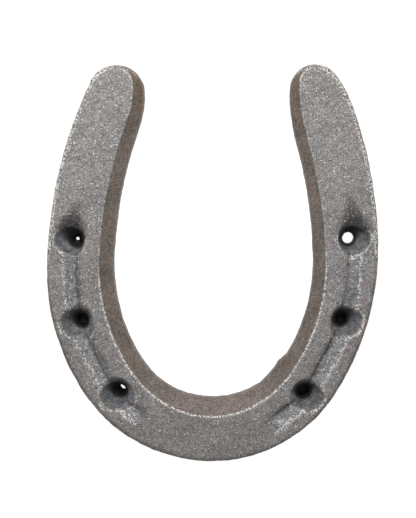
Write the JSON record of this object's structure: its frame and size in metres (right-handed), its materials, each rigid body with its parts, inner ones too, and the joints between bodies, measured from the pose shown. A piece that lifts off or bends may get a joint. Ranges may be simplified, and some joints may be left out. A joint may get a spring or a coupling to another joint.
{
  "type": "horseshoe",
  "caption": "Flat U-shaped horseshoe made as one bar, with a concave inner edge, a nail crease and countersunk nail holes.",
  "frame": {"origin": "centre of the bounding box, at the height of the hoof face, which is the flat face the shoe lies on", "axes": "+Y from the toe towards the heels, +Z from the hoof face to the creased ground face, +X to the right branch as seen with the ground face up and the heels away from the viewer"},
  "size_m": [0.1166, 0.1396, 0.01],
  "materials": {
    "iron": "rough cast, dull grey with light rust on the edges"
  },
  "bodies": {
    "root": {"horseshoe": "iron"}
  },
  "joints": []
}
